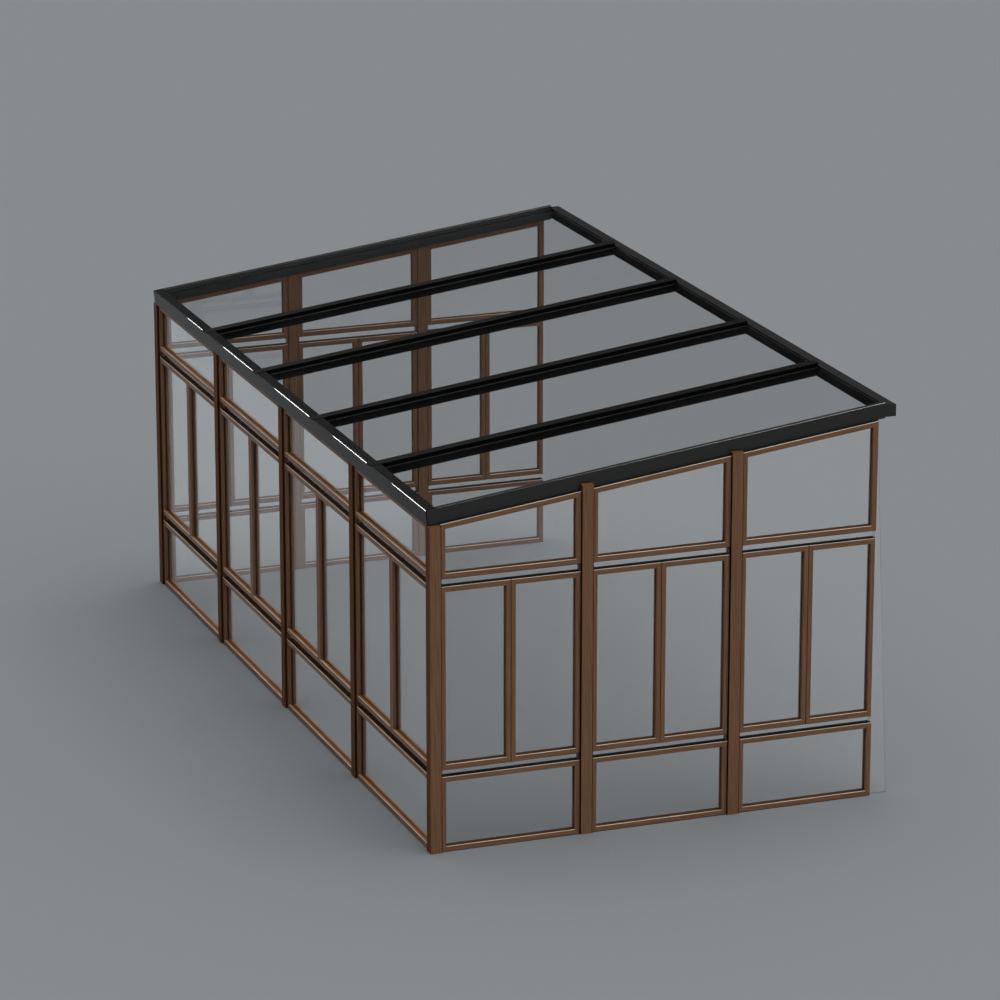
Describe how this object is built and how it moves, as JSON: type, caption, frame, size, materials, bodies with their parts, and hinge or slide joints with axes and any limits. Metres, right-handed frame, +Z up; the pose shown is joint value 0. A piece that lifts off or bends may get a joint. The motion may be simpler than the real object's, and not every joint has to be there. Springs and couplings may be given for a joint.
{
  "type": "conservatory",
  "caption": "Lean-to glass conservatory with brown posts and casement windows under a black single-slope glazed roof, open on the house side.",
  "frame": {"origin": "on the floor under the middle of the whole building", "axes": "+Z up, -Y out through the low front wall, +Y towards the house, +X to the end with the narrower roof bay"},
  "size_m": [6.74, 3.5556, 2.9528],
  "materials": {
    "brown_frame": "satin wood-grain coating",
    "black_roof": "satin",
    "clear_glass": "polished clear"
  },
  "bodies": {
    "root": {"corner_post_left": "brown_frame", "corner_post_right": "brown_frame", "eave_beam": "black_roof", "front_casements_1": "brown_frame", "front_casements_2": "brown_frame", "front_casements_3": "brown_frame", "front_casements_4": "brown_frame", "front_frame_1": "brown_frame", "front_frame_2": "brown_frame", "front_frame_3": "brown_frame", "front_frame_4": "brown_frame", "front_glass_1": "clear_glass", "front_glass_2": "clear_glass", "front_glass_3": "clear_glass", "front_glass_4": "clear_glass", "front_post_1": "brown_frame", "front_post_2": "brown_frame", "front_post_3": "brown_frame", "left_casements_1": "brown_frame", "left_casements_2": "brown_frame", "left_casements_3": "brown_frame", "left_closing_pane": "clear_glass", "left_end_beam": "black_roof", "left_frame_1": "brown_frame", "left_frame_2": "brown_frame", "left_frame_3": "brown_frame", "left_glass_1": "clear_glass", "left_glass_2": "clear_glass", "left_glass_3": "clear_glass", "left_post_1": "brown_frame", "left_post_2": "brown_frame", "rafter_1": "black_roof", "rafter_2": "black_roof", "rafter_3": "black_roof", "rafter_4": "black_roof", "right_casements_1": "brown_frame", "right_casements_2": "brown_frame", "right_casements_3": "brown_frame", "right_closing_pane": "clear_glass", "right_end_beam": "black_roof", "right_frame_1": "brown_frame", "right_frame_2": "brown_frame", "right_frame_3": "brown_frame", "right_glass_1": "clear_glass", "right_glass_2": "clear_glass", "right_glass_3": "clear_glass", "right_post_1": "brown_frame", "right_post_2": "brown_frame", "roof_glass_1": "clear_glass", "roof_glass_2": "clear_glass", "roof_glass_3": "clear_glass", "roof_glass_4": "clear_glass", "roof_glass_5": "clear_glass", "wall_beam": "black_roof"}
  },
  "joints": []
}
